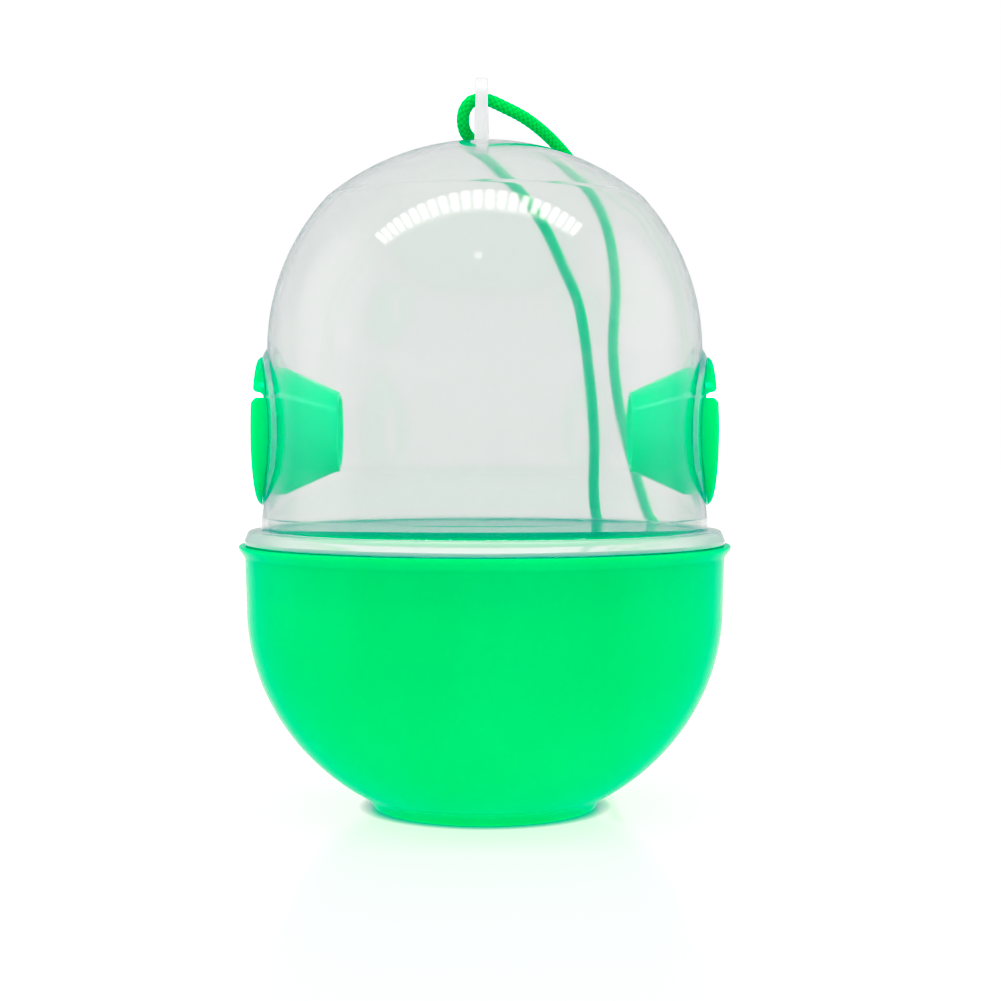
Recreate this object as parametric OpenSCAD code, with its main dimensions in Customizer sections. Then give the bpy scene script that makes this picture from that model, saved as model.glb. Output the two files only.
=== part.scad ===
// Hanging wasp trap: a bait bowl, a clear dome that lifts off it, two press-in entry funnels
// and a looped cord. Millimetres, +Z up, origin at the middle of the foot's underside,
// entry funnels on the X axis.

/* [Bowl] */
// Height of the rim that the dome rests on
bowl_h = 65.2; // [64:0.1:67]
// Largest radius of the round body
bowl_r = 58.7; // [58:0.1:60]
// Height at which the round body is widest
bowl_mid_z = 50; // [48:0.5:52]
// Half height of the ellipse that the round body follows
bowl_drop = 55.3; // [54:0.1:57]
// Thickness of the bowl's wall
bowl_wall = 1.5; // [1.2:0.1:1.8]
// Radius of the flared lip
lip_r = 60.6; // [60.2:0.1:62]
// Outer radius of the foot ring where it meets the body
foot_r = 28.4; // [26:0.1:29]
// Height of the foot ring
foot_h = 2.2; // [1.8:0.1:2.6]

/* [Dome] */
// Outer radius of the dome's upright wall
dome_r = 53.5; // [53:0.1:54]
// Height at which the upright wall turns into the shoulder
wall_top_z = 113; // [112.5:0.5:115]
// Radius of the shoulder's arc
shoulder_r = 55; // [54:0.5:57]
// Radius of the crease between the shoulder and the crown
crease_r = 39.2; // [37:0.1:41]
// Height of the top of the crown
apex_z = 164.4; // [163:0.1:166]
// Thickness of the dome's wall
dome_wall = 1.3; // [1:0.1:1.5]
// Thickness of the flange that rests on the bowl
flange_t = 3.4; // [2.8:0.1:3.6]
// Depth of the skirt that reaches into the bowl
skirt_depth = 10.4; // [6:0.2:14]

/* [Hanging tab] */
// Height of the whole trap, to the tip of the tab
trap_h = 180; // [178:0.5:182]
// Width of the tab
tab_w = 10.4; // [9.6:0.1:11]
// Thickness of the tab at its foot
tab_foot_t = 3.6; // [3.2:0.1:4]
// Thickness of the tab at its tip
tab_tip_t = 2.9; // [2.4:0.1:3.1]
// Radius of the hole that the cord runs through
tab_hole_r = 2.6; // [2.3:0.1:2.8]
// Sideways offset of the tab from the dome's axis
tab_x = -0.8; // [-1:0.1:0]

/* [Entry funnels] */
// Height of the funnels' axis
funnel_z = 93.1; // [93:0.1:94]
// Outer radius of the neck that fills the dome's hole
neck_r = 15.7; // [14:0.1:15.8]
// Outer radius of the narrow end inside the dome
tip_r = 9.6; // [8:0.1:11]
// How far the narrow end reaches in from the dome's outer wall
funnel_reach = 17.7; // [14:0.1:20]
// Thickness of the funnel's wall
funnel_wall = 1.3; // [1:0.1:1.6]
// Radius of the button-shaped flange outside the dome
button_r = 18.4; // [17.8:0.1:18.8]
// How far the flange stands proud of the dome's wall
button_t = 2.5; // [2.2:0.1:3.2]
// How far the dome's pad under the flange stands proud of the wall
pad_t = 1.1; // [0.8:0.1:1.2]

/* [Hanging cord] */
// Diameter of the soft braided cord
cord_d = 3; // [2.4:0.1:3]
// Diameter of the knot that joins the cord's two ends
knot_d = 9.8; // [8:0.1:9.8]

/* [Hidden] */
$fn = 96;
BOWL_GREEN = [0.02, 0.88, 0.44];
DOME_CLEAR = [0.88, 0.90, 0.89, 0.45];
FUNNEL_GREEN = [0.16, 0.88, 0.55];
CORD_GREEN = [0.02, 0.68, 0.24];
ARC_STEPS = 20;

// Bowl
BOWL_INSIDE_R = bowl_r - bowl_wall;
BOWL_FLOOR_Z = 2.4;
BOWL_RECESS_Z = 1;
FOOT_LAND = 4;
FOOT_TAPER = 1;
FOOT_START = asin((bowl_mid_z - foot_h) / bowl_drop);
FLOOR_START = asin((bowl_mid_z - BOWL_FLOOR_Z) / (bowl_drop - bowl_wall));
LIP_T = 0.8;
LIP_FLARE_H = 2.1;
RIM_DRAFT = 0.4;

// Dome
SEAT_GAP = 0.2;
SEAT_Z = bowl_h + SEAT_GAP;
SKIRT_GAP = 0.4;
SKIRT_R = BOWL_INSIDE_R - SKIRT_GAP;
FLANGE_R = lip_r - 1.4;
FLANGE_TOP = SEAT_Z + flange_t;
FLANGE_ROUND = 1.8;
BASE_R = dome_r + 1.5;
BASE_TOP_Z = 72;
TAPER_TOP_Z = 84;
SHOULDER_X = dome_r - shoulder_r;
CREASE_STEP = 0.3;
CREASE_Z = wall_top_z + sqrt(pow(shoulder_r, 2) - pow(crease_r - SHOULDER_X, 2));
CROWN_H = apex_z - CREASE_Z - CREASE_STEP;
CROWN_EDGE_R = crease_r - CREASE_STEP;
CROWN_R = (pow(CROWN_EDGE_R, 2) + pow(CROWN_H, 2)) / (2 * CROWN_H);
TAB_SINK = 0.7;
PAD_R = button_r + 1.2;
PAD_OUT = dome_r + pad_t;
PAD_ROOT = 0.6;
PAD_TOP_Z = funnel_z + PAD_R + 1;
PAD_LOW_Z = BASE_TOP_Z + (TAPER_TOP_Z - BASE_TOP_Z) * (BASE_R - PAD_OUT) / (BASE_R - dome_r);

// Entry funnels
HOLE_GAP = 0.3;
WALL_GAP = 0.3;
TIP_X = dome_r - funnel_reach;
SHOULDER_TAPER_X = 49.4;
BUTTON_X = dome_r + button_t;
BUTTON_ROUND = 1.5;
BUTTON_BACK_X = 48.5;
MOUTH_ROUND = 0.7;
HOOD_SET_BACK = 0.4;
// Drip groove's outline as [distance from the dome's axis, height above the funnel's axis]
GROOVE_LOW = 7.9;
GROOVE = [[52.2, GROOVE_LOW], [60, GROOVE_LOW], [60, 11.6], [55, 9.6], [53.8, 9.3], [52.2, 8.1]];

// Hanging cord: from the knot up the dome's back, round the tab and through its hole,
// over the shoulder and down the dome's back to the knot again
CORD_STEPS = 2;
CORD_SIDES = 8;
CORD_ROUTE = [
    [5.5, 80.5, 4.8], [11.5, 74.5, 2], [21, 65, 4.6], [27.5, 59, 14],
    [31.5, 55.6, 32], [32.4, 54.4, 52], [32.2, 54, 65], [30.8, 51.2, 71.5],
    [30.2, 48.6, 79], [30.2, 46.8, 92], [28.8, 48, 109], [26, 47, 127],
    [21.4, 44.8, 138], [16.6, 40.6, 147.8], [10.6, 33.4, 155.8], [5, 25, 160.8],
    [0.8, 17, 164.2], [-2.6, 10.4, 165.9], [-4.6, 5.8, 167.2], [-5.4, 2.6, 169.4],
    [-5, 0.8, 172.2], [-3, 0, 174.4], [0.6, 0, 174.6], [4.4, 0.8, 173.2],
    [10.4, 4.2, 170.6], [16.4, 9, 166.6], [22.2, 14.8, 161.2], [28.8, 22.8, 154.8],
    [33.4, 31.2, 145.4], [35.6, 38.6, 132], [35.2, 43, 115], [37, 41.8, 99],
    [41, 39, 83], [44.4, 39.2, 72], [47.4, 41.2, 65], [45.6, 45, 48],
    [40, 53, 24], [32, 61.4, 6.6], [22.5, 69.8, 2], [13.5, 78.2, 2.8],
    [8.2, 83.2, 4.8]
];
KNOT_AT = [4.7, 83.9, 5];
KNOT_TURN = 136;
KNOT_HALF_LENGTH = 5.5;
TAIL_LENGTH = 13;
TAIL_START = 2;
TAIL_SPREAD = 17;
TAIL_DROP = 12;

// Points on an arc, from one angle to another
function arc(centre, r, from, to) =
    [for (i = [0:ARC_STEPS]) let(a = from + (to - from) * i / ARC_STEPS)
        [centre[0] + r * cos(a), centre[1] + r * sin(a)]];

// Points on the lower right quarter of an ellipse, from an angle below the middle up to it
function belly(across, down, from) =
    [for (i = [0:ARC_STEPS]) let(a = from * (1 - i / ARC_STEPS))
        [across * cos(a), bowl_mid_z - down * sin(a)]];

function reversed(points) = [for (i = [len(points) - 1:-1:0]) points[i]];

// The shoulder's arc and the crown's cap, moved in by a wall's thickness
function dome_top(inset) =
    concat(
        arc([SHOULDER_X, wall_top_z], shoulder_r - inset, 0,
            acos((crease_r - SHOULDER_X) / shoulder_r)),
        arc([0, apex_z - CROWN_R], CROWN_R - inset, acos(CROWN_EDGE_R / CROWN_R), 90)
    );

// A smooth curve through the route's points, with a ring at every step
function route_point(i) =
    i < 0 ? 2 * CORD_ROUTE[0] - CORD_ROUTE[1] :
    i >= len(CORD_ROUTE) ? 2 * CORD_ROUTE[len(CORD_ROUTE) - 1] - CORD_ROUTE[len(CORD_ROUTE) - 2] :
    CORD_ROUTE[i];
function spline(a, b, c, d, t) =
    0.5 * (2 * b + (c - a) * t + (2 * a - 5 * b + 4 * c - d) * t * t
        + (3 * b - a - 3 * c + d) * t * t * t);
function cord_centres() =
    concat(
        [for (i = [0:len(CORD_ROUTE) - 2], k = [0:CORD_STEPS - 1])
            spline(route_point(i - 1), route_point(i), route_point(i + 1), route_point(i + 2),
                k / CORD_STEPS)],
        [CORD_ROUTE[len(CORD_ROUTE) - 1]]
    );
function unit(v) = v / norm(v);
function heading(path, i) = unit(path[min(i + 1, len(path) - 1)] - path[max(i - 1, 0)]);
function square_to(v, along) = unit(v - (v * along) * along);
// One sideways direction per ring, carried along the path without twisting
function sideways(path) =
    [for (i = 0, v = square_to([0, 0, 1], heading(path, 0));
        i < len(path);
        i = i + 1, v = square_to(v, heading(path, min(i, len(path) - 1)))) v];

module bowl() {
    outside = concat(
        [[foot_r - FOOT_LAND - FOOT_TAPER, 0], [foot_r - FOOT_TAPER, 0], [foot_r, foot_h]],
        belly(bowl_r, bowl_drop, FOOT_START),
        [
            [bowl_r + RIM_DRAFT, bowl_h - LIP_T - LIP_FLARE_H],
            [lip_r, bowl_h - LIP_T],
            [lip_r, bowl_h]
        ]
    );
    inside = concat(
        [[0, BOWL_FLOOR_Z]],
        belly(BOWL_INSIDE_R, bowl_drop - bowl_wall, FLOOR_START),
        [[BOWL_INSIDE_R, bowl_h]]
    );
    underside = [[0, BOWL_RECESS_Z], [foot_r - FOOT_LAND - FOOT_TAPER, BOWL_RECESS_Z]];
    color(BOWL_GREEN)
        rotate_extrude()
            polygon(concat(underside, outside, reversed(inside)));
}

// The dome's shell, with its flange and skirt
module dome_shell() {
    outside = concat(
        [[SKIRT_R, SEAT_Z - skirt_depth], [SKIRT_R, SEAT_Z], [FLANGE_R, SEAT_Z]],
        arc([FLANGE_R - FLANGE_ROUND, FLANGE_TOP - FLANGE_ROUND], FLANGE_ROUND, 0, 90),
        [[BASE_R, FLANGE_TOP], [BASE_R, BASE_TOP_Z], [dome_r, TAPER_TOP_Z]],
        dome_top(0)
    );
    inside = concat(
        [
            [SKIRT_R - dome_wall, SEAT_Z - skirt_depth],
            [SKIRT_R - dome_wall, SEAT_Z - 0.5],
            [BASE_R - dome_wall, SEAT_Z + dome_wall],
            [BASE_R - dome_wall, BASE_TOP_Z],
            [dome_r - dome_wall, TAPER_TOP_Z]
        ],
        dome_top(dome_wall)
    );
    rotate_extrude()
        polygon(concat(outside, reversed(inside)));
}

// A plate that stands on the crown, rounded over its hole and tapered towards its tip
module hanging_tab() {
    foot_z = apex_z - TAB_SINK;
    hole_z = trap_h - tab_w / 2;
    taper_z = trap_h + 1;
    difference() {
        intersection() {
            translate([tab_x, 0, 0])
                rotate([90, 0, 0])
                    linear_extrude(height = tab_w + 2, center = true)
                        polygon([
                            [-tab_foot_t / 2, foot_z], [tab_foot_t / 2, foot_z],
                            [tab_tip_t / 2, taper_z], [-tab_tip_t / 2, taper_z]
                        ]);
            translate([tab_x - tab_foot_t, 0, 0])
                rotate([90, 0, 90])
                    linear_extrude(height = 2 * tab_foot_t)
                        union() {
                            translate([0, hole_z])
                                circle(r = tab_w / 2);
                            translate([-tab_w / 2, foot_z])
                                square([tab_w, hole_z - foot_z]);
                        }
        }
        translate([tab_x, 0, hole_z])
            rotate([0, 90, 0])
                cylinder(r = tab_hole_r, h = 3 * tab_foot_t, center = true);
    }
}

// The raised round pads on the wall that the funnels' flanges sit on
module pads() {
    intersection() {
        rotate_extrude()
            polygon([
                [BASE_R - PAD_ROOT, BASE_TOP_Z], [PAD_OUT, BASE_TOP_Z], [PAD_OUT, PAD_TOP_Z],
                [dome_r - PAD_ROOT, PAD_TOP_Z], [dome_r - PAD_ROOT, TAPER_TOP_Z]
            ]);
        translate([0, 0, funnel_z])
            rotate([0, 90, 0])
                cylinder(r = PAD_R, h = 4 * dome_r, center = true);
    }
}

module dome() {
    color(DOME_CLEAR)
        difference() {
            union() {
                dome_shell();
                hanging_tab();
                pads();
            }
            translate([0, 0, funnel_z])
                rotate([0, 90, 0])
                    cylinder(r = neck_r + HOLE_GAP, h = 4 * dome_r, center = true);
        }
}

// Space that the dome's wall and pads take up beside the funnels, with a little room round it
module wall_room() {
    rotate_extrude()
        polygon([
            [0, FLANGE_TOP], [BASE_R + WALL_GAP, FLANGE_TOP], [BASE_R + WALL_GAP, BASE_TOP_Z],
            [PAD_OUT + WALL_GAP, PAD_LOW_Z], [PAD_OUT + WALL_GAP, PAD_TOP_Z], [0, PAD_TOP_Z]
        ]);
}

// Turns an outline of [radius, distance from the dome's axis] about the right funnel's axis
module turned(outline) {
    translate([0, 0, funnel_z])
        rotate([0, 90, 0])
            rotate_extrude()
                polygon(outline);
}

// Button-shaped flange outside the wall
module funnel_button() {
    mouth_r = neck_r - funnel_wall;
    outline = concat(
        [[mouth_r, BUTTON_BACK_X], [button_r, BUTTON_BACK_X]],
        arc([button_r - BUTTON_ROUND, BUTTON_X - BUTTON_ROUND], BUTTON_ROUND, 0, 90),
        arc([mouth_r + MOUTH_ROUND, BUTTON_X - MOUTH_ROUND], MOUTH_ROUND, 90, 180)
    );
    difference() {
        turned(outline);
        wall_room();
    }
}

// What is cut from the flange: the drip groove, down to the wall, and the hood's face above it
module drip_groove() {
    difference() {
        translate([0, 0, funnel_z])
            rotate([90, 0, 0])
                linear_extrude(height = 3 * button_r, center = true)
                    polygon(GROOVE);
        wall_room();
    }
    translate([BUTTON_X - HOOD_SET_BACK, -button_r, funnel_z + GROOVE_LOW])
        cube([button_t, 2 * button_r, button_r]);
}

// Neck and cone: what stands in the dome's hole and reaches inside
module funnel_cone() {
    turned([
        [tip_r - funnel_wall, TIP_X], [tip_r, TIP_X],
        [neck_r, SHOULDER_TAPER_X], [neck_r, PAD_OUT + WALL_GAP],
        [neck_r - funnel_wall, PAD_OUT + WALL_GAP], [neck_r - funnel_wall, SHOULDER_TAPER_X]
    ]);
}

module right_entry_funnel() {
    color(FUNNEL_GREEN)
        difference() {
            union() {
                funnel_cone();
                funnel_button();
            }
            drip_groove();
        }
}

module left_entry_funnel() {
    mirror([1, 0, 0])
        right_entry_funnel();
}

module hanging_cord() {
    path = cord_centres();
    side = sideways(path);
    rings = len(path);
    points = [for (i = [0:rings - 1], k = [0:CORD_SIDES - 1])
        let(a = 360 * k / CORD_SIDES, across = cross(heading(path, i), side[i]))
            path[i] + cord_d / 2 * (cos(a) * side[i] + sin(a) * across)];
    walls = [for (i = [0:rings - 2], k = [0:CORD_SIDES - 1])
        let(a = i * CORD_SIDES, next = (k + 1) % CORD_SIDES)
            [a + k, a + CORD_SIDES + k, a + CORD_SIDES + next, a + next]];
    first_end = [for (k = [0:CORD_SIDES - 1]) k];
    last_end = [for (k = [CORD_SIDES - 1:-1:0]) (rings - 1) * CORD_SIDES + k];
    color(CORD_GREEN)
        polyhedron(points = points, faces = concat(walls, [first_end, last_end]), convexity = 10);
}

// A short loose end with a rounded tip
module cord_tail(turn) {
    rotate([0, 90 + TAIL_DROP, turn])
        translate([0, 0, TAIL_START]) {
            cylinder(d = cord_d, h = TAIL_LENGTH);
            translate([0, 0, TAIL_LENGTH])
                sphere(d = cord_d);
        }
}

module cord_knot() {
    outline = [for (i = [0:2 * ARC_STEPS]) let(a = -90 + 180 * i / (2 * ARC_STEPS))
        [knot_d / 2 * cos(a), KNOT_HALF_LENGTH * sin(a)]];
    color(CORD_GREEN)
        translate(KNOT_AT)
            union() {
                rotate([0, 90, KNOT_TURN])
                    rotate_extrude()
                        polygon(outline);
                cord_tail(KNOT_TURN - TAIL_SPREAD);
                cord_tail(KNOT_TURN + TAIL_SPREAD);
            }
}

bowl();
dome();
left_entry_funnel();
right_entry_funnel();
hanging_cord();
cord_knot();
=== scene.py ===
"""The looks of a hanging wasp trap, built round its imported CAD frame.

Metres, +Z up. The trap stands on the floor at the origin, with its entries on the X axis.
"""
import math

import bmesh
import bpy
import numpy as np
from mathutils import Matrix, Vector


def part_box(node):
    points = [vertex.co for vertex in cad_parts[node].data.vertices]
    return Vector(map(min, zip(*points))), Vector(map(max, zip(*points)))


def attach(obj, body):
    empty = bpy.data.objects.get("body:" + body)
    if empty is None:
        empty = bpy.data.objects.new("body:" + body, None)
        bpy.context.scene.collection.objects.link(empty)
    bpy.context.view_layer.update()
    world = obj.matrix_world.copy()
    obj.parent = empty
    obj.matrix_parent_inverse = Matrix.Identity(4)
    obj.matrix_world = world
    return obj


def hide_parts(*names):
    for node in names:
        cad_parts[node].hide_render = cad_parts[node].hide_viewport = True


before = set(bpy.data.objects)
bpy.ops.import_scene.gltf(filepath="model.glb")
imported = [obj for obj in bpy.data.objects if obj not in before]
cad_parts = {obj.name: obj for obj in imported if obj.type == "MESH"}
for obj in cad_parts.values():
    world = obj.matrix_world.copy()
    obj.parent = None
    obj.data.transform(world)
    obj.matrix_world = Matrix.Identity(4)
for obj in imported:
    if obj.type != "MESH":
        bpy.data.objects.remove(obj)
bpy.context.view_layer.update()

MM = 0.001

# Bowl, from its CAD box
_, BOWL_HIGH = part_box("bowl")
LIP_R = BOWL_HIGH.x
BOWL_H = BOWL_HIGH.z
BOWL_WALL = 1.5 * MM
BOWL_R = LIP_R - 1.9 * MM
BOWL_INSIDE_R = BOWL_R - BOWL_WALL
BOWL_MID_Z = BOWL_H - 15.2 * MM
BOWL_DROP = BOWL_MID_Z + 4.6 * MM
LIP_T = 0.8 * MM
LIP_FLARE_H = 2.1 * MM
RIM_DRAFT = 0.4 * MM
FOOT_R = LIP_R - 31.4 * MM
FOOT_H = 3 * MM
FOOT_TAPER = 1.8 * MM
FOOT_LAND = 4 * MM
RECESS_Z = 1 * MM
FLOOR_Z = 2.4 * MM
GATE_R = 1.6 * MM
GATE_H = 0.4 * MM

# Dome, from its CAD box: the skirt is its lowest part and the tab its highest
DOME_LOW, DOME_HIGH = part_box("dome")
DOME_WALL = 1.3 * MM
FLANGE_R = DOME_HIGH.x
SKIRT_R = FLANGE_R - 2.4 * MM
SKIRT_Z = DOME_LOW.z
SEAT_Z = SKIRT_Z + 10.4 * MM
FLANGE_TOP = SEAT_Z + 3.4 * MM
FLANGE_DRAFT = 1 * MM
DOME_R = FLANGE_R - 5.7 * MM
BASE_R = DOME_R + 1.5 * MM
BASE_TOP_Z = SEAT_Z + 6.6 * MM
TAPER_TOP_Z = SEAT_Z + 18.6 * MM
WALL_TOP_Z = SEAT_Z + 47.6 * MM
SHOULDER_R = 55 * MM
SHOULDER_X = DOME_R - SHOULDER_R
CREASE_R = 39.2 * MM
CREASE_STEP = 0.3 * MM
CREASE_ROUND = 0.12 * MM
CREASE_Z = WALL_TOP_Z + math.sqrt(SHOULDER_R ** 2 - (CREASE_R - SHOULDER_X) ** 2)
CROWN_EDGE_R = CREASE_R - CREASE_STEP
TRAP_H = DOME_HIGH.z
APEX_Z = TRAP_H - 15.6 * MM
CROWN_H = APEX_Z - CREASE_Z - CREASE_STEP
CROWN_R = (CROWN_EDGE_R ** 2 + CROWN_H ** 2) / (2 * CROWN_H)

# Hanging tab
TAB_W = 10.4 * MM
TAB_FOOT_T = 3.6 * MM
TAB_TIP_T = 2.9 * MM
TAB_X = -0.8 * MM
TAB_HOLE_R = 2.6 * MM
TAB_SINK = 0.7 * MM
TAB_EDGE = 0.35 * MM

# Entry funnels, from the right one's CAD box
FUNNEL_LOW, FUNNEL_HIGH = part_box("right_entry_funnel")
FUNNEL_Z = (FUNNEL_LOW.z + FUNNEL_HIGH.z) / 2
BUTTON_R = FUNNEL_HIGH.y
BUTTON_X = FUNNEL_HIGH.x
TIP_X = FUNNEL_LOW.x
NECK_R = BUTTON_R - 2.7 * MM
TIP_R = 9.6 * MM
FUNNEL_WALL = 1.3 * MM
MOUTH_R = NECK_R - FUNNEL_WALL
SHOULDER_TAPER_X = BUTTON_X - 6.6 * MM
BUTTON_BACK_X = BUTTON_X - 7.5 * MM
BUTTON_ROUND = 1.5 * MM
MOUTH_ROUND = 0.7 * MM
WALL_GAP = 0.3 * MM
HOOD_SET_BACK = 0.4 * MM
HOLE_R = NECK_R + 0.3 * MM
HOLE_EDGE = 0.2 * MM
OVERLAP = 0.05 * MM
# Drip groove: its flat lower side, above the funnel's axis, and how far in from the face it ends
GROOVE_LOW = 7.9 * MM
GROOVE_DEPTH = 3.8 * MM

# The raised pads on the dome that the funnels' buttons sit on: flat inside one radius, sloped to another
PAD_OUT = DOME_R + 1.1 * MM
PAD_FLAT_R = BUTTON_R + 0.2 * MM
PAD_FOOT_R = BUTTON_R + 2.8 * MM
PAD_ROOT = 0.6 * MM
PAD_SINK = 0.1 * MM
PAD_TOP_Z = FUNNEL_Z + BUTTON_R + 2.2 * MM
PAD_LOW_Z = BASE_TOP_Z + (TAPER_TOP_Z - BASE_TOP_Z) * (BASE_R - PAD_OUT) / (BASE_R - DOME_R)

# Hanging cord: the CAD route, from the knot round the tab and back to the knot
CORD_D = 3 * MM
CORD_ROUTE = [
    (0.0055, 0.0805, 0.0048), (0.0115, 0.0745, 0.002), (0.021, 0.065, 0.0046),
    (0.0275, 0.059, 0.014), (0.0315, 0.0556, 0.032), (0.0324, 0.0544, 0.052),
    (0.0322, 0.054, 0.065), (0.0308, 0.0512, 0.0715), (0.0302, 0.0486, 0.079),
    (0.0302, 0.0468, 0.092), (0.0288, 0.048, 0.109), (0.026, 0.047, 0.127),
    (0.0214, 0.0448, 0.138), (0.0166, 0.0406, 0.1478), (0.0106, 0.0334, 0.1558),
    (0.005, 0.025, 0.1608), (0.0008, 0.017, 0.1642), (-0.0026, 0.0104, 0.1659),
    (-0.0046, 0.0058, 0.1672), (-0.0054, 0.0026, 0.1694), (-0.005, 0.0008, 0.1722),
    (-0.003, 0, 0.1744), (0.0006, 0, 0.1746), (0.0044, 0.0008, 0.1732),
    (0.0104, 0.0042, 0.1706), (0.0164, 0.009, 0.1666), (0.0222, 0.0148, 0.1612),
    (0.0288, 0.0228, 0.1548), (0.0334, 0.0312, 0.1454), (0.0356, 0.0386, 0.132),
    (0.0352, 0.043, 0.115), (0.037, 0.0418, 0.099), (0.041, 0.039, 0.083),
    (0.0444, 0.0392, 0.072), (0.0474, 0.0412, 0.065), (0.0456, 0.045, 0.048),
    (0.04, 0.053, 0.024), (0.032, 0.0614, 0.0066), (0.0225, 0.0698, 0.002),
    (0.0135, 0.0782, 0.0028), (0.0082, 0.0832, 0.0048),
]
KNOT_AT = Vector((4.7, 83.9, 5)) * MM
KNOT_TURN = math.radians(136)
TAIL_SPREAD = math.radians(17)

# Braid: strands that wind each way, how far along the cord one crossing is, how far the strands
# stand out, and how long a tail's rounded end is
STRANDS = 6
CROSSING = 1.5 * MM
STRAND_PROUD = 0.3 * MM
STRAND_CREST = CORD_D / 2 + 0.05 * MM
TAIL_ROUND = 1.2 * MM
CORD_SIDES = 36
RING_STEP = 0.25 * MM

# Camera: where it stands, and how far it tilts down and turns, in degrees
CAMERA_AT = (0, -0.486, 0.0925)
CAMERA_LENS = 70.5
CAMERA_SENSOR = 36
CAMERA_DOWN = 1.955
CAMERA_TURN = -0.453

# Strip light: slats along X, with a dim panel just above them
SLATS = 22
SLAT_PITCH = 0.0278
SLAT_SIZE = (0.015, 0.062)
SLAT_RADIANCE = 6.5
STRIP_X = -0.03
SLAT_Y, SLAT_Z = -0.1, 0.45
PANEL_Y, PANEL_Z = -0.109, 0.452
PANEL_DEPTH = 0.08
PANEL_RADIANCE = 1.7

# Small lamp in front of the strip
LAMP_AT = (-0.026, -0.357, 0.45)
LAMP_AIM = (0, 0, 0.13)
LAMP_SIZE = (0.03, 0.03)
LAMP_RADIANCE = 2

# Brighter patches in the room's sky, to the left and to the right
LEFT_GLOW = (-0.95, 0.05, 0.33)
RIGHT_GLOW = (0.95, 0.05, 0.31)
SKY_LEVEL, GLOW_LEVEL = 0.62, 1.5

# The photograph's red channel, as pairs of a given level and the level it shows
RED_RESPONSE = ((0.22, 0.01), (0.32, 0.09), (0.45, 0.30), (0.75, 0.745))

# Stage: half the width of its floor, how bright the camera sees it, and how far its painted contact shadow
# reaches
STAGE_HALF = 4
STAGE_LEVEL = 0.67
CONTACT_REACH = 3.4 * MM


# ---------------------------------------------------------------- meshes

def mesh_object(name, points, faces):
    """A new object from points and faces, with its faces turned outwards."""
    mesh = bpy.data.meshes.new(name)
    mesh.from_pydata([tuple(p) for p in points], [], faces)
    made = bmesh.new()
    made.from_mesh(mesh)
    bmesh.ops.recalc_face_normals(made, faces=made.faces)
    made.to_mesh(mesh)
    made.free()
    mesh.shade_smooth()
    piece = bpy.data.objects.new(name, mesh)
    bpy.context.scene.collection.objects.link(piece)
    return piece


def arc(centre, radius, start, end, steps=24):
    """Outline points on an arc between two angles in degrees."""
    angles = np.radians(np.linspace(start, end, steps + 1))
    return [(centre[0] + radius * math.cos(a), centre[1] + radius * math.sin(a), 0) for a in angles]


def circle(centre_z, radius, count):
    """A round outline in the YZ plane."""
    angles = np.linspace(0, 2 * math.pi, count, endpoint=False)
    return [(radius * math.cos(a), centre_z + radius * math.sin(a)) for a in angles]


def belly(across, down, start, steps=40):
    """Outline points up the lower right quarter of an ellipse, from an angle in radians."""
    angles = np.linspace(start, 0, steps + 1)
    return [(across * math.cos(a), BOWL_MID_Z - down * math.sin(a), 0) for a in angles]


def rounded(corners, steps=5):
    """The closed outline through (x, y, radius) corners, with an arc of that radius at each."""
    outline = []
    for i, (x, y, radius) in enumerate(corners):
        here = np.array((x, y))
        if radius == 0:
            outline.append(here)
            continue
        back = np.array(corners[i - 1][:2]) - here
        on = np.array(corners[(i + 1) % len(corners)][:2]) - here
        back, on = back / np.linalg.norm(back), on / np.linalg.norm(on)
        half = math.acos(np.clip(back @ on, -1, 1)) / 2
        reach = radius / math.tan(half)
        middle = (back + on) / np.linalg.norm(back + on)
        centre = here + middle * radius / math.sin(half)
        first, last = here + back * reach - centre, here + on * reach - centre
        turn = math.pi - 2 * half
        for t in np.linspace(0, 1, steps + 1):
            share = (math.sin((1 - t) * turn) * first + math.sin(t * turn) * last) / math.sin(turn)
            outline.append(centre + share)
    return outline


def spaced(outline, step=1.2 * MM):
    """The outline with its long straight stretches divided, so that they shade evenly."""
    points = []
    for here, there in zip(outline, outline[1:] + outline[:1]):
        on_axis = max(here[0], there[0]) < 1e-9
        parts = 1 if on_axis else max(1, math.ceil(np.linalg.norm(there - here) / step))
        points += [here + (there - here) * k / parts for k in range(parts)]
    return points


def lathe(name, outline, segments=192, along_x=False):
    """Turns a closed outline of (radius, height) about Z, or about the right funnel's axis."""
    points, rings = [], []
    for radius, height in outline:
        if radius < 1e-9:
            rings.append([len(points)] * segments)
            points.append((0, 0, height))
            continue
        rings.append(list(range(len(points), len(points) + segments)))
        for k in range(segments):
            a = 2 * math.pi * k / segments
            points.append((radius * math.cos(a), radius * math.sin(a), height))
    faces = []
    for lower, upper in zip(rings, rings[1:] + rings[:1]):
        for k in range(segments):
            face = [lower[k], lower[(k + 1) % segments], upper[(k + 1) % segments], upper[k]]
            face = list(dict.fromkeys(face))
            if len(face) > 2:
                faces.append(face)
    if along_x:
        points = [(z, y, FUNNEL_Z - x) for x, y, z in points]
    return mesh_object(name, points, faces)


def prism(name, outline, low, high, across):
    """A straight solid on an outline. across is the axis it runs along; the outline is in the others."""
    order = {"x": lambda a, b, c: (c, a, b), "y": lambda a, b, c: (a, c, b)}[across]
    count = len(outline)
    points = [order(a, b, low) for a, b in outline] + [order(a, b, high) for a, b in outline]
    sides = [[k, (k + 1) % count, count + (k + 1) % count, count + k] for k in range(count)]
    ends = [list(range(count)), list(range(2 * count - 1, count - 1, -1))]
    return mesh_object(name, points, sides + ends)


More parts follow.
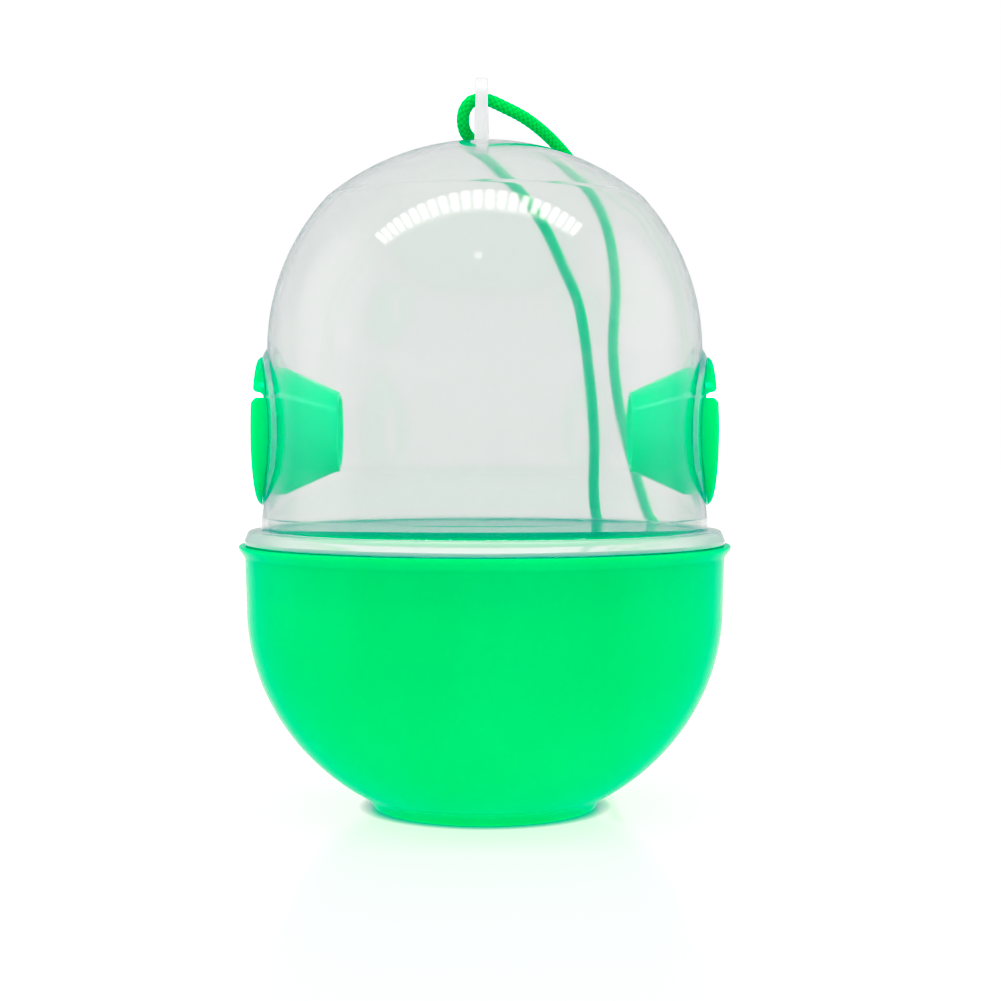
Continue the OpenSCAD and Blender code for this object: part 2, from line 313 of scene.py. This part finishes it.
def settle(piece):
    """Applies a piece's modifiers, so that its mesh is final."""
    graph = bpy.context.evaluated_depsgraph_get()
    graph.update()
    final = bpy.data.meshes.new_from_object(piece.evaluated_get(graph))
    final.name = piece.name
    piece.modifiers.clear()
    piece.data = final
    return piece


def combine(piece, tool, operation):
    """Unites a piece with a tool, or cuts the tool out of it. The tool is used up."""
    modifier = piece.modifiers.new("combine", "BOOLEAN")
    modifier.operation = operation
    modifier.solver = "EXACT"
    modifier.material_mode = "TRANSFER"
    modifier.object = tool
    settle(piece)
    bpy.data.objects.remove(tool)
    return piece


def soften(piece, width, angle=40, segments=3):
    """Rounds a piece's sharp edges."""
    modifier = piece.modifiers.new("soften", "BEVEL")
    modifier.width = width
    modifier.segments = segments
    modifier.limit_method = "ANGLE"
    modifier.angle_limit = math.radians(angle)
    modifier.harden_normals = False
    return settle(piece)


def shade(piece, angle=32):
    """Smooth shading that keeps the edges sharper than an angle."""
    piece.data.shade_smooth()
    piece.data.set_sharp_from_angle(angle=math.radians(angle))
    return piece


# ---------------------------------------------------------------- materials

def node(tree, kind, **values):
    """A new shader node, with these values on its sockets or settings."""
    made = tree.nodes.new(kind)
    for name, value in values.items():
        if name in made.inputs:
            made.inputs[name].default_value = value
        else:
            setattr(made, name, value)
    return made


def plain_material(name, settings):
    """A new Principled material with these values on its own sockets."""
    material = bpy.data.materials.new(name)
    material.use_nodes = True
    shader = material.node_tree.nodes["Principled BSDF"]
    for socket, value in settings.items():
        shader.inputs[socket].default_value = value
    return material, material.node_tree, shader


def noise(tree, scale, detail=3.0, stretch=(1, 1, 1)):
    """Noise over the object's own coordinates, stretched along the axes."""
    place = node(tree, "ShaderNodeTexCoord")
    mapping = node(tree, "ShaderNodeMapping")
    mapping.inputs["Scale"].default_value = stretch
    made = node(tree, "ShaderNodeTexNoise", Scale=scale, Detail=detail)
    tree.links.new(place.outputs["Object"], mapping.inputs["Vector"])
    tree.links.new(mapping.outputs["Vector"], made.inputs["Vector"])
    return made.outputs["Fac"]


def spread(tree, value, low, high):
    """Maps a texture's 0.3 to 0.7 onto low to high."""
    made = node(tree, "ShaderNodeMapRange")
    made.inputs["From Min"].default_value = 0.3
    made.inputs["From Max"].default_value = 0.7
    made.inputs["To Min"].default_value = low
    made.inputs["To Max"].default_value = high
    tree.links.new(value, made.inputs["Value"])
    return made.outputs["Result"]


def tint(tree, value, low, high):
    """Mixes two colours by a texture's value."""
    made = node(tree, "ShaderNodeValToRGB")
    made.color_ramp.elements[0].position = 0.3
    made.color_ramp.elements[0].color = (*low, 1)
    made.color_ramp.elements[1].position = 0.7
    made.color_ramp.elements[1].color = (*high, 1)
    tree.links.new(value, made.inputs["Fac"])
    return made.outputs["Color"]


def bump(tree, shader, *layers):
    """Stacks bump layers of (height, strength, distance) onto a shader's normal."""
    normal = None
    for height, strength, distance in layers:
        made = node(tree, "ShaderNodeBump", Strength=strength, Distance=distance)
        tree.links.new(height, made.inputs["Height"])
        if normal:
            tree.links.new(normal, made.inputs["Normal"])
        normal = made.outputs["Normal"]
    tree.links.new(normal, shader.inputs["Normal"])


def green_plastic(name, light, dark, translucency, depth, specular, roughness):
    """Glossy moulded polypropylene, with faint flow marks and a slightly uneven gloss."""
    material, tree, shader = plain_material(name, {
        "IOR": 1.49,
        "Specular IOR Level": specular,
        "Specular Tint": (0.4, 0.9, 0.9, 1),
        "Subsurface Weight": translucency,
        "Subsurface Radius": (0.25, 1.0, 0.5),
        "Subsurface Scale": depth,
    })
    flow = noise(tree, 60, 2.0, (1, 1, 0.25))
    tree.links.new(tint(tree, flow, dark, light), shader.inputs["Base Color"])
    tree.links.new(spread(tree, noise(tree, 140, 4.0), *roughness), shader.inputs["Roughness"])
    bump(tree, shader,
         (noise(tree, 45, 1.0), 0.12, 0.25 * MM),
         (noise(tree, 1500, 2.0), 0.06, 0.03 * MM))
    return material


def clear_plastic(name, clearness, colour):
    """Milky clear polypropylene, with the faint waves of a thin moulding."""
    material, tree, shader = plain_material(name, {
        "Base Color": (*colour, 1),
        "IOR": 1.49,
        "Transmission Weight": clearness,
    })
    tree.links.new(spread(tree, noise(tree, 90, 3.0), 0.03, 0.07), shader.inputs["Roughness"])
    bump(tree, shader,
         (noise(tree, 55, 1.0, (1, 1, 0.5)), 0.10, 0.2 * MM),
         (noise(tree, 900, 2.0), 0.04, 0.02 * MM))
    return material


def fibre(name):
    """Soft braided yarn: painted shade between its strands, with fine filaments along each."""
    material, tree, shader = plain_material(name, {
        "Roughness": 0.62,
        "Specular IOR Level": 0.15,
        "Sheen Weight": 0.15,
        "Sheen Roughness": 0.4,
        "Sheen Tint": (0.35, 1.0, 0.45, 1),
    })
    height = node(tree, "ShaderNodeAttribute", attribute_name="strand_height")
    # Painted shade: the yarn's colour darkens towards the low ground between its strands
    shadow = node(tree, "ShaderNodeValToRGB")
    shadow.color_ramp.elements[0].position = 0.05
    shadow.color_ramp.elements[0].color = (0.0, 0.36, 0.04, 1)
    shadow.color_ramp.elements[1].position = 0.8
    shadow.color_ramp.elements[1].color = (0.0, 0.9, 0.095, 1)
    tree.links.new(height.outputs["Fac"], shadow.inputs["Fac"])
    tree.links.new(shadow.outputs["Color"], shader.inputs["Base Color"])
    filaments = node(tree, "ShaderNodeTexWave", wave_type="BANDS", Scale=1.0, Distortion=1.5)
    filaments.inputs["Detail Scale"].default_value = 2.0
    place = node(tree, "ShaderNodeUVMap", uv_map="yarn")
    tree.links.new(place.outputs["UV"], filaments.inputs["Vector"])
    bump(tree, shader, (filaments.outputs["Fac"], 0.5, 0.06 * MM), (noise(tree, 2500, 2.0), 0.3, 0.04 * MM))
    return material


# ---------------------------------------------------------------- camera, stage and lights

def by_ray(tree, direct, clear, mirror, light, inside):
    """A brightness for the floor or the room, by how it is met.

    direct is for what the camera sees itself, clear for what it sees through clear plastic, mirror
    for a mirror image, light for the light on the object, and inside for light that has first
    passed through clear plastic."""
    seen = node(tree, "ShaderNodeLightPath")
    scattered = node(tree, "ShaderNodeMath", operation="GREATER_THAN")
    scattered.inputs[1].default_value = 0.5
    tree.links.new(seen.outputs["Diffuse Depth"], scattered.inputs[0])

    def choose(switch, otherwise, chosen):
        mix = node(tree, "ShaderNodeMix", data_type="FLOAT")
        tree.links.new(switch, mix.inputs[0])
        for socket, value in ((mix.inputs[2], otherwise), (mix.inputs[3], chosen)):
            if isinstance(value, float):
                socket.default_value = value
            else:
                tree.links.new(value, socket)
        return mix.outputs[0]

    through = choose(scattered.outputs["Value"], clear, inside)
    mirrored_level = choose(scattered.outputs["Value"], mirror, light)
    level = choose(seen.outputs["Is Glossy Ray"], light, mirrored_level)
    level = choose(seen.outputs["Is Transmission Ray"], level, through)
    return choose(seen.outputs["Is Camera Ray"], level, direct)


def camera():
    """A long lens, level with the middle of the trap."""
    data = bpy.data.cameras.new("camera")
    data.sensor_width = CAMERA_SENSOR
    data.lens = CAMERA_LENS
    data.clip_start = 0.01
    data.dof.use_dof = False
    made = bpy.data.objects.new("camera", data)
    made.location = CAMERA_AT
    made.rotation_euler = (math.radians(90 - CAMERA_DOWN), 0, math.radians(CAMERA_TURN))
    bpy.context.scene.collection.objects.link(made)
    bpy.context.scene.camera = made


def floor():
    """A pale, slightly polished table that runs out to the white background.

    It is darker close to what stands on it: a painted contact shadow, dimming the glow that the camera
    sees."""
    made = bpy.data.objects.new("floor", bpy.data.meshes.new("floor"))
    half = STAGE_HALF
    corners = [(-half, -half, 0), (half, -half, 0), (half, half, 0), (-half, half, 0)]
    made.data.from_pydata(corners, [], [(0, 1, 2, 3)])
    bpy.context.scene.collection.objects.link(made)
    material, tree, shader = plain_material("floor_white", {
        "Base Color": (0.32, 0.32, 0.32, 1),
        "Roughness": 0.12,
        "IOR": 1.25,
        "Emission Color": (1, 1, 1, 1),
    })
    # Painted contact shadow: the glow that the camera sees dims where something stands close
    painted_contact_shade = node(tree, "ShaderNodeAmbientOcclusion", Distance=CONTACT_REACH)
    seen = node(tree, "ShaderNodeMapRange")
    seen.inputs["To Max"].default_value = STAGE_LEVEL
    tree.links.new(painted_contact_shade.outputs["AO"], seen.inputs["Value"])
    level = by_ray(tree, direct=seen.outputs["Result"], clear=0.3, mirror=0.55, light=0.87, inside=1.4)
    tree.links.new(level, shader.inputs["Emission Strength"])
    made.data.materials.append(material)


def area_light(name, place, aim, size, radiance):
    """A rectangular light of a given radiance."""
    data = bpy.data.lights.new(name, "AREA")
    data.shape = "RECTANGLE"
    data.size, data.size_y = size
    data.energy = radiance * math.pi * size[0] * size[1]
    made = bpy.data.objects.new(name, data)
    made.location = place
    made.rotation_euler = (Vector(aim) - Vector(place)).to_track_quat("-Z", "Y").to_euler()
    bpy.context.scene.collection.objects.link(made)


def glow(tree, toward):
    """The sky's brightness, with a soft brighter patch around a direction."""
    place = node(tree, "ShaderNodeTexCoord")
    along = node(tree, "ShaderNodeVectorMath", operation="DOT_PRODUCT")
    along.inputs[1].default_value = Vector(toward).normalized()
    tree.links.new(place.outputs["Generated"], along.inputs[0])
    patch = node(tree, "ShaderNodeMapRange", interpolation_type="SMOOTHSTEP")
    patch.inputs["From Min"].default_value = 0.86
    patch.inputs["From Max"].default_value = 1.0
    patch.inputs["To Min"].default_value = SKY_LEVEL
    patch.inputs["To Max"].default_value = GLOW_LEVEL
    tree.links.new(along.outputs["Value"], patch.inputs["Value"])
    return patch.outputs["Result"]


def lights():
    """A slatted strip, its panel and a small lamp overhead, in a pale room with brighter sides."""
    for k in range(SLATS):
        x = (k - (SLATS - 1) / 2) * SLAT_PITCH + STRIP_X
        area_light(f"slat_{k}", (x, SLAT_Y, SLAT_Z), (x, SLAT_Y, 0), SLAT_SIZE, SLAT_RADIANCE)
    panel_size = (SLATS * SLAT_PITCH, PANEL_DEPTH)
    area_light("panel", (STRIP_X, PANEL_Y, PANEL_Z), (STRIP_X, PANEL_Y, 0), panel_size, PANEL_RADIANCE)
    area_light("lamp", LAMP_AT, LAMP_AIM, LAMP_SIZE, LAMP_RADIANCE)
    world = bpy.data.worlds.new("room")
    world.use_nodes = True
    tree = world.node_tree
    background = tree.nodes["Background"]
    background.inputs["Color"].default_value = (1, 1, 1, 1)
    sides = node(tree, "ShaderNodeMath", operation="MAXIMUM")
    tree.links.new(glow(tree, LEFT_GLOW), sides.inputs[0])
    tree.links.new(glow(tree, RIGHT_GLOW), sides.inputs[1])
    level = by_ray(tree, direct=1.0, clear=0.8, mirror=sides.outputs["Value"], light=0.95, inside=2.0)
    tree.links.new(level, background.inputs["Strength"])
    bpy.context.scene.world = world


def camera_response():
    """The photograph's colour: a camera that loses red in strong greens, and keeps whites and greys."""
    view = bpy.context.scene.view_settings
    view.view_transform = "Standard"
    view.use_curve_mapping = True
    red = view.curve_mapping.curves[0]
    for given, shown in RED_RESPONSE:
        red.points.new(given, shown)
    view.curve_mapping.update()


# ---------------------------------------------------------------- cord

def spline(points, per_step):
    """A uniform Catmull-Rom curve through points, its ends reflected."""
    p = np.array(points, float)
    p = np.vstack([2 * p[0] - p[1], p, 2 * p[-1] - p[-2]])
    t = (np.arange(per_step) / per_step)[:, None]
    curve = []
    for a, b, c, d in zip(p, p[1:], p[2:], p[3:]):
        curve.append(0.5 * (2 * b + (c - a) * t + (2 * a - 5 * b + 4 * c - d) * t ** 2
                            + (3 * b - a - 3 * c + d) * t ** 3))
    return np.vstack(curve + [p[-2:-1]])


def even(curve, step):
    """A curve's points again, the same distance apart."""
    travel = np.concatenate([[0], np.cumsum(np.linalg.norm(np.diff(curve, axis=0), axis=1))])
    count = max(2, round(travel[-1] / step) + 1)
    at = np.linspace(0, travel[-1], count)
    return np.column_stack([np.interp(at, travel, curve[:, k]) for k in range(3)]), at


def turned_frames(curve):
    """A heading and two sideways directions at each point, carried along without twisting."""
    heading = np.gradient(curve, axis=0)
    heading /= np.linalg.norm(heading, axis=1)[:, None]
    side = np.zeros_like(curve)
    v = np.array((0.0, 0.0, 1.0))
    for i, h in enumerate(heading):
        v = v - (v @ h) * h
        v /= np.linalg.norm(v)
        side[i] = v
    return heading, side, np.cross(heading, side)


def braid(around, along):
    """Height of a braid's surface, 0 to 1, and where on its strand each point lies."""
    a = STRANDS * around + along / CROSSING
    b = STRANDS * around - along / CROSSING
    on_top = (np.floor(a) + np.floor(b)) % 2 == 0
    across = np.where(on_top, a % 1, b % 1) * 2 - 1
    down = np.where(on_top, b % 1, a % 1) * 2 - 1
    height = np.sqrt(np.clip(1 - 0.92 * across ** 2, 0, 1)) * (1 - 0.45 * down ** 2)
    return height, across, np.where(on_top, b, a)


def braided_tube(name, curves, thin_ends=False):
    """Braided tubes along several curves, as one mesh with its strands' heights and directions."""
    points, faces, heights, yarn, start = [], [], [], [], 0
    for curve in curves:
        curve, along = even(curve, RING_STEP)
        _, side, across = turned_frames(curve)
        turn = np.arange(CORD_SIDES) / CORD_SIDES
        height, place, run = braid(turn[None, :], along[:, None])
        radius = STRAND_CREST - STRAND_PROUD * (1 - height)
        if thin_ends:
            left = np.clip((along[-1] - along) / TAIL_ROUND, 0, 1)
            radius = radius * np.sqrt(np.clip(left, 0.03, 1))[:, None]
        c, s = np.cos(2 * np.pi * turn)[None, :, None], np.sin(2 * np.pi * turn)[None, :, None]
        ring = curve[:, None] + radius[..., None] * (c * side[:, None] + s * across[:, None])
        points.append(ring.reshape(-1, 3))
        heights.append(height.ravel())
        yarn.append(np.stack([place * 3, run * 0.5], -1).reshape(-1, 2))
        rings = len(curve)
        row = start + np.arange(rings - 1)[:, None] * CORD_SIDES
        column = np.arange(CORD_SIDES)[None, :]
        first = row + column
        on = row + (column + 1) % CORD_SIDES
        faces += np.stack([first, on, on + CORD_SIDES, first + CORD_SIDES], -1).reshape(-1, 4).tolist()
        faces.append(list(range(start, start + CORD_SIDES)))
        faces.append(list(range(start + (rings - 1) * CORD_SIDES, start + rings * CORD_SIDES)))
        start += rings * CORD_SIDES
    piece = mesh_object(name, np.vstack(points), faces)
    mesh = piece.data
    attribute = mesh.attributes.new("strand_height", "FLOAT", "POINT")
    attribute.data.foreach_set("value", np.concatenate(heights).astype(np.float32))
    layer = mesh.uv_layers.new(name="yarn")
    corner = np.zeros(len(mesh.loops), np.int32)
    mesh.loops.foreach_get("vertex_index", corner)
    layer.data.foreach_set("uv", np.vstack(yarn)[corner].astype(np.float32).ravel())
    return piece


def knot_point(along, out, angle):
    """A point in the knot: distance along it, and from its axis at an angle."""
    axis = Vector((math.cos(KNOT_TURN), math.sin(KNOT_TURN), 0))
    level = Vector((-axis.y, axis.x, 0))
    return KNOT_AT + axis * along - level * out * math.cos(angle) + Vector((0, 0, out * math.sin(angle)))


def knot_strand(angle, spread_angle, start):
    """One of the cord's ends: a turn and a quarter in the knot, out of it and down onto the floor."""
    turns, reach = 1.25, 6.4 * MM
    points = [start]
    for t in np.linspace(0.15, 1, 12):
        out = (1.9 + 0.9 * math.sin(math.pi * t)) * MM
        points.append(knot_point(-3 * MM + reach * t, out, angle + 2 * math.pi * turns * t))
    away = KNOT_TURN + spread_angle
    for distance, height in ((7.5, 4.2), (10, 2.8), (12.5, 1.9), (14.6, 1.65)):
        points.append(Vector((KNOT_AT.x + distance * MM * math.cos(away),
                              KNOT_AT.y + distance * MM * math.sin(away), height * MM)))
    return spline(points, 12)


def knot_wrap():
    """The turn of cord that crosses over the knot's other strands."""
    points = []
    for t in np.linspace(0, 1, 22):
        angle = 2 * math.pi * 1.12 * t + 0.6
        dive = 1.3 * math.sin(math.pi * t) ** 0.35 if 0 < t < 1 else 0
        points.append(knot_point((-2.6 + 5.0 * t) * MM, (2.1 + dive) * MM, -angle))
    return spline(points, 8)


def cord_pieces(material):
    """The braided cord and its knot. Both ride the dome."""
    curve = spline(CORD_ROUTE, 24)
    cord = braided_tube("hanging_cord_braid", [curve])
    cord.data.materials.append(material)
    first, last = Vector(CORD_ROUTE[0]), Vector(CORD_ROUTE[-1])
    knot = braided_tube("cord_knot_strands", [
        knot_strand(0, -TAIL_SPREAD, first),
        knot_strand(math.pi, TAIL_SPREAD, last),
        knot_wrap(),
    ], thin_ends=True)
    knot.data.materials.append(material)
    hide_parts("hanging_cord")
    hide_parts("cord_knot")
    for piece in (cord, knot):
        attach(piece, "dome")


# ---------------------------------------------------------------- plastic pieces

def bowl(material):
    """The bait bowl: round body, flared lip, foot ring and a recessed underside with its gate."""
    foot_in = FOOT_R - FOOT_LAND - FOOT_TAPER
    foot_start = math.asin((BOWL_MID_Z - FOOT_H) / BOWL_DROP)
    floor_start = math.asin((BOWL_MID_Z - FLOOR_Z) / (BOWL_DROP - BOWL_WALL))
    flare_z = BOWL_H - LIP_T - LIP_FLARE_H
    outline = rounded([
        (0, RECESS_Z - GATE_H, 0), (GATE_R, RECESS_Z - GATE_H, 0.15 * MM), (GATE_R, RECESS_Z, 0.2 * MM),
        (foot_in, RECESS_Z, 0.4 * MM), (foot_in, 0, 0.3 * MM), (FOOT_R - FOOT_TAPER, 0, 0.6 * MM),
        (FOOT_R, FOOT_H, 6 * MM), *belly(BOWL_R, BOWL_DROP, foot_start)[1:],
        (BOWL_R + RIM_DRAFT, flare_z, 1.2 * MM), (LIP_R, BOWL_H - LIP_T, 0.25 * MM),
        (LIP_R, BOWL_H, 0.35 * MM), (BOWL_INSIDE_R, BOWL_H, 0.4 * MM),
        *reversed(belly(BOWL_INSIDE_R, BOWL_DROP - BOWL_WALL, floor_start)),
        (0, FLOOR_Z, 0),
    ])
    piece = lathe("bait_bowl", spaced(outline))
    piece.data.materials.append(material)
    return piece


def dome_top(inset):
    """The outline of the shoulder and the crown up to the axis, moved in by an inset."""
    shoulder_end = math.degrees(math.acos((CREASE_R - SHOULDER_X) / SHOULDER_R))
    crown_start = math.degrees(math.acos(CROWN_EDGE_R / CROWN_R))
    crown_centre = (0, APEX_Z - CROWN_R)
    shoulder = arc((SHOULDER_X, WALL_TOP_Z), SHOULDER_R - inset, 0, shoulder_end, 48)
    crown = arc(crown_centre, CROWN_R - inset, crown_start, 90, 40)
    last, first = shoulder[-1][:2], crown[0][:2]
    edge = CREASE_ROUND if inset == 0 else 0
    crease = [(*last, edge), (*first, edge)]
    crown[-1] = (0, crown[-1][1], 0)
    return shoulder[:-1] + crease + crown[1:]


def hanging_tab(material):
    """The flat tab on the crown, rounded over its hole and thinner at its tip."""
    foot_z, hole_z = APEX_Z - TAB_SINK, TRAP_H - TAB_W / 2
    face = [(-TAB_W / 2, foot_z), (TAB_W / 2, foot_z)]
    face += [p[:2] for p in arc((0, hole_z), TAB_W / 2, 0, 180, 28)]
    tab = prism("tab", face, -TAB_FOOT_T, TAB_FOOT_T, "x")
    for point in tab.data.vertices:
        share = (point.co.z - foot_z) / (TRAP_H - foot_z)
        half = (TAB_FOOT_T + (TAB_TIP_T - TAB_FOOT_T) * share) / 2
        point.co.x = math.copysign(half, point.co.x) + TAB_X
    hole = prism("hole", circle(hole_z, TAB_HOLE_R, 48), -3 * TAB_FOOT_T, 3 * TAB_FOOT_T, "x")
    combine(tab, hole, "DIFFERENCE")
    soften(tab, TAB_EDGE, 50)
    tab.data.materials.clear()
    tab.data.materials.append(material)
    return tab


def wall_radius(height):
    """The dome's outer radius at a height on its straight or tapered wall."""
    return np.interp(height, (BASE_TOP_Z, TAPER_TOP_Z), (BASE_R, DOME_R))


def right_pad(rings=36, segments=144):
    """A raised round pad on the dome's wall, round an entry hole. Its edge slopes down to the wall."""
    points, faces = [], []
    for k in range(rings):
        out = PAD_FOOT_R * (k + 1) / rings
        share = np.clip((PAD_FOOT_R - out) / (PAD_FOOT_R - PAD_FLAT_R), 0, 1)
        slope = share * share * (3 - 2 * share)
        for side, height in circle(FUNNEL_Z, out, segments):
            wall = wall_radius(height)
            face = wall + max(PAD_OUT - wall, 0) * slope - PAD_SINK * (1 - slope)
            points.append((math.sqrt(face ** 2 - side ** 2), side, height))
    for side, height in circle(FUNNEL_Z, PAD_FOOT_R, segments):
        points.append((math.sqrt((wall_radius(height) - PAD_ROOT) ** 2 - side ** 2), side, height))
    for ring in range(rings):
        for k in range(segments):
            on = (k + 1) % segments
            low, high = ring * segments, (ring + 1) * segments
            faces.append([low + k, low + on, high + on, high + k])
    faces.append(list(range(segments)))
    faces.append(list(range(rings * segments, (rings + 1) * segments)))
    return mesh_object("right_pad", points, faces)


def dome(shell_material, rim_material, pad_material, tab_material):
    """The clear dome: skirt, flange, wall, shoulder, crown, tab, and the two entry holes in their pads."""
    skirt_in = SKIRT_R - DOME_WALL
    outline = rounded([
        (skirt_in, SKIRT_Z, 0.3 * MM), (SKIRT_R, SKIRT_Z, 0.4 * MM), (SKIRT_R, SEAT_Z, 0.3 * MM),
        (FLANGE_R, SEAT_Z, 0.25 * MM), (FLANGE_R, SEAT_Z + 1 * MM, 0.3 * MM),
        (FLANGE_R - FLANGE_DRAFT, FLANGE_TOP, 0.9 * MM), (BASE_R, FLANGE_TOP, 0.8 * MM),
        (BASE_R, BASE_TOP_Z, 2 * MM), (DOME_R, TAPER_TOP_Z, 3 * MM), *dome_top(0)[1:],
        *reversed(dome_top(DOME_WALL)[1:]), (DOME_R - DOME_WALL, TAPER_TOP_Z, 3 * MM),
        (BASE_R - DOME_WALL, BASE_TOP_Z, 2 * MM), (BASE_R - DOME_WALL, SEAT_Z + DOME_WALL, 0.8 * MM),
        (skirt_in, SEAT_Z - 0.5 * MM, 0.8 * MM),
    ])
    shell = lathe("clear_dome", spaced(outline))
    shell.data.materials.append(shell_material)
    shell.data.materials.append(rim_material)
    # The flange's faces take the rim's material: milky, and tinted mint with painted green light from the
    # bowl
    for face in shell.data.polygons:
        if SEAT_Z - 0.1 * MM < face.center.z < FLANGE_TOP + 0.1 * MM and face.center.xy.length > BASE_R:
            face.material_index = 1
    combine(shell, hanging_tab(tab_material), "UNION")
    pad = right_pad()
    # The pads' material is tinted mint: painted green light from the funnels
    pad.data.materials.append(pad_material)
    combine(shell, mirrored(pad, "left_pad"), "UNION")
    combine(shell, pad, "UNION")
    holes = prism("entry_holes", circle(FUNNEL_Z, HOLE_R, 144), -2 * DOME_R, 2 * DOME_R, "x")
    combine(shell, holes, "DIFFERENCE")
    soften(shell, HOLE_EDGE, 60, 2)
    return shade(shell)


def wall_room(gap):
    """The space that the dome's wall and pads take up beside a funnel, with a gap round it."""
    corners = [
        (0, FLANGE_TOP), (BASE_R + gap, FLANGE_TOP), (BASE_R + gap, BASE_TOP_Z),
        (PAD_OUT + gap, PAD_LOW_Z), (PAD_OUT + gap, PAD_TOP_Z), (0, PAD_TOP_Z),
    ]
    return lathe("wall_room", [np.array(c) for c in corners], 384)


def groove():
    """The drip groove under the hood, down to the dome's wall. Its lower edge is round at the mouth."""
    low, face = FUNNEL_Z + GROOVE_LOW, BUTTON_X
    outline = rounded([
        (face - GROOVE_DEPTH, low, 0), (face - 1.1 * MM, low, 0.9 * MM),
        (face, low - 1.2 * MM, 0), (face + 2 * MM, low - 3 * MM, 0),
        (face + 2 * MM, low + 4 * MM, 0), (face - HOOD_SET_BACK, low + 2.3 * MM, 0.3 * MM),
        (face - 1 * MM, low + 1.6 * MM, 0.5 * MM), (face - 2.2 * MM, low + 1.4 * MM, 0.9 * MM),
        (face - GROOVE_DEPTH, low + 0.2 * MM, 0),
    ])
    cut = prism("groove", outline, -2 * BUTTON_R, 2 * BUTTON_R, "y")
    return combine(cut, wall_room(WALL_GAP / 2), "DIFFERENCE")


def right_funnel(material):
    """A press-in entry: button with a hood and a drip groove outside, neck and cone inside."""
    button = lathe("right_funnel", spaced(rounded([
        (MOUTH_R, BUTTON_BACK_X, 0), (BUTTON_R, BUTTON_BACK_X, 0),
        (BUTTON_R, BUTTON_X, BUTTON_ROUND), (MOUTH_R, BUTTON_X, MOUTH_ROUND),
    ], 10)), 144, along_x=True)
    combine(button, wall_room(WALL_GAP), "DIFFERENCE")
    neck_end = PAD_OUT + WALL_GAP + OVERLAP
    cone = lathe("cone", spaced(rounded([
        (TIP_R - FUNNEL_WALL, TIP_X, 0.45 * MM), (TIP_R, TIP_X, 0.55 * MM),
        (NECK_R, SHOULDER_TAPER_X, 1.2 * MM), (NECK_R, neck_end, 0),
        (MOUTH_R, neck_end, 0), (MOUTH_R, SHOULDER_TAPER_X, 1.2 * MM),
    ])), 144, along_x=True)
    combine(button, cone, "UNION")
    combine(button, groove(), "DIFFERENCE")
    back, front = BUTTON_X - HOOD_SET_BACK, BUTTON_X + BUTTON_R
    low, high = FUNNEL_Z + GROOVE_LOW, FUNNEL_Z + 2 * BUTTON_R
    hood_face = [(back, low), (front, low), (front, high), (back, high)]
    combine(button, prism("hood_face", hood_face, -2 * BUTTON_R, 2 * BUTTON_R, "y"), "DIFFERENCE")
    soften(button, 0.25 * MM, 45, 2)
    button.data.materials.clear()
    button.data.materials.append(material)
    return shade(button)


def mirrored(piece, name):
    """The same piece on the other side of the YZ plane."""
    mesh = piece.data.copy()
    made = bmesh.new()
    made.from_mesh(mesh)
    for vertex in made.verts:
        vertex.co.x = -vertex.co.x
    bmesh.ops.reverse_faces(made, faces=made.faces)
    made.to_mesh(mesh)
    made.free()
    copy = bpy.data.objects.new(name, mesh)
    bpy.context.scene.collection.objects.link(copy)
    return shade(copy)


def stand_for(piece, cad_node, body):
    """Says which CAD node a piece stands for and the body it rides."""
    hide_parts(cad_node)
    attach(piece, body)


camera()
cord_pieces(fibre("braided_yarn"))
floor()
lights()
camera_response()

bowl_green = green_plastic("bowl_green", light=(0.0, 0.72, 0.17), dark=(0.0, 0.69, 0.15),
                           translucency=0.8, depth=4 * MM, specular=0.38, roughness=(0.13, 0.2))
funnel_green = green_plastic("funnel_green", light=(0.0, 0.78, 0.19), dark=(0.0, 0.75, 0.17),
                             translucency=0.9, depth=6 * MM, specular=0.5, roughness=(0.07, 0.12))
# The thicker a part of the dome is, the milkier it looks. The pads' and the rim's mint tints are painted
# green light from the funnels and the bowl
dome_clear = clear_plastic("dome_clear", clearness=0.92, colour=(0.97, 0.98, 0.978))
# Pad tint: painted green light from the funnels, on clear plastic
pad_milky_painted_green = clear_plastic("pad_milky_painted_green", clearness=0.78, colour=(0.8, 0.98, 0.88))
# Rim tint: painted green light from the bowl, on clear plastic
rim_milky_painted_green = clear_plastic("rim_milky_painted_green", clearness=0.5, colour=(0.86, 0.99, 0.92))
tab_milky = clear_plastic("tab_milky", clearness=0.25, colour=(0.89, 0.895, 0.91))

stand_for(bowl(bowl_green), "bowl", "bowl")
stand_for(dome(dome_clear, rim_milky_painted_green, pad_milky_painted_green, tab_milky), "dome", "dome")
right = right_funnel(funnel_green)
stand_for(mirrored(right, "left_funnel"), "left_entry_funnel", "left_entry_funnel")
stand_for(right, "right_entry_funnel", "right_entry_funnel")
